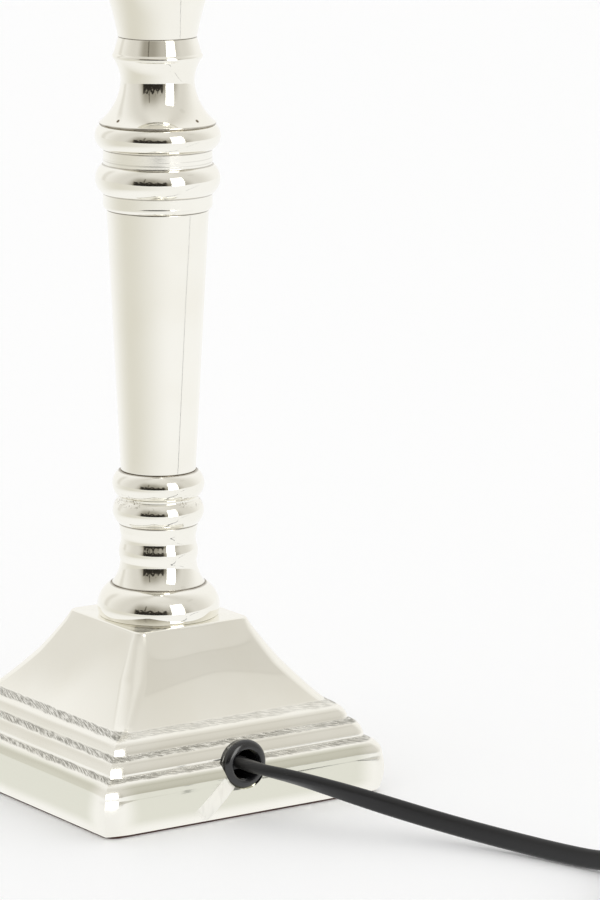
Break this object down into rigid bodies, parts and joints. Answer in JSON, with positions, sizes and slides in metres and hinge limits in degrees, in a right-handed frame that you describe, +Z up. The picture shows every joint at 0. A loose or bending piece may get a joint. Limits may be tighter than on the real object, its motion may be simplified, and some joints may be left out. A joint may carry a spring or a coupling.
{
  "type": "candlestick table lamp",
  "caption": "Candlestick table lamp with a turned plated column on a square stepped base, a screw-thread lampholder and a flat flex with switch and plug.",
  "frame": {"origin": "middle of the square base on the surface that the lamp stands on", "axes": "+Z up the column, +Y towards the back where the flex leaves the base, +X to the right of that side seen from in front of it"},
  "size_m": [0.1185, 0.371, 0.3301],
  "materials": {
    "polished_nickel": "warm polished nickel plate, lightly worn, matt in the cut grooves",
    "zinc_steel": "zinc-plated steel",
    "iron": "rough cast iron",
    "felt": "thin dark felt",
    "black_rubber": "glossy black rubber",
    "black_flex": "soft black plastic sheath with a dull sheen",
    "core_insulation": "plastic core insulation",
    "black_moulding": "black moulded plastic",
    "contact_brass": "plain brass",
    "pin_nickel": "nickel-plated brass"
  },
  "bodies": {
    "lamp": {"felt_pad": "felt", "base_casting": "polished_nickel", "ballast_plate": "iron", "ballast_screws": "zinc_steel", "cord_clamp": "zinc_steel", "clamp_screws": "zinc_steel", "cord_grommet": "black_rubber", "threaded_rod": "zinc_steel", "rod_washer": "zinc_steel", "rod_nut": "zinc_steel", "foot_ring": "polished_nickel", "pedestal": "polished_nickel", "lower_knop": "polished_nickel", "column_shaft": "polished_nickel", "upper_collar": "polished_nickel", "neck_cove": "polished_nickel", "candle_vase": "polished_nickel", "drip_pan": "polished_nickel", "holder_cup": "polished_nickel", "holder_cap": "black_moulding", "holder_insert": "black_moulding", "screw_shell": "contact_brass", "holder_skirt": "black_moulding", "centre_contact": "contact_brass", "side_contact": "contact_brass", "terminal_screws": "contact_brass", "inner_cord": "black_flex", "core_leads": "core_insulation", "cord_lead": "black_flex", "cord_link": "black_flex", "cord_coil": "black_flex", "cord_tail": "black_flex", "cord_tie": "black_flex", "plug_body": "black_moulding", "plug_pins": "pin_nickel", "switch_base": "black_moulding", "switch_cover": "black_moulding", "switch_screws": "zinc_steel"},
    "shade_ring": {"shade_ring": "black_moulding"},
    "rocker": {"switch_rocker": "black_moulding"}
  },
  "joints": [
    {"name": "shade_ring_travel", "type": "slide", "parent": "lamp", "child": "shade_ring", "axis": [0, 0, 1], "range_m": [0, 0.022]},
    {"name": "switch_rock", "type": "hinge", "parent": "lamp", "child": "rocker", "pos_m": [-0.054, 0.206, 0.0124], "axis": [1, 0, 0], "range_deg": [-16, 0]}
  ]
}
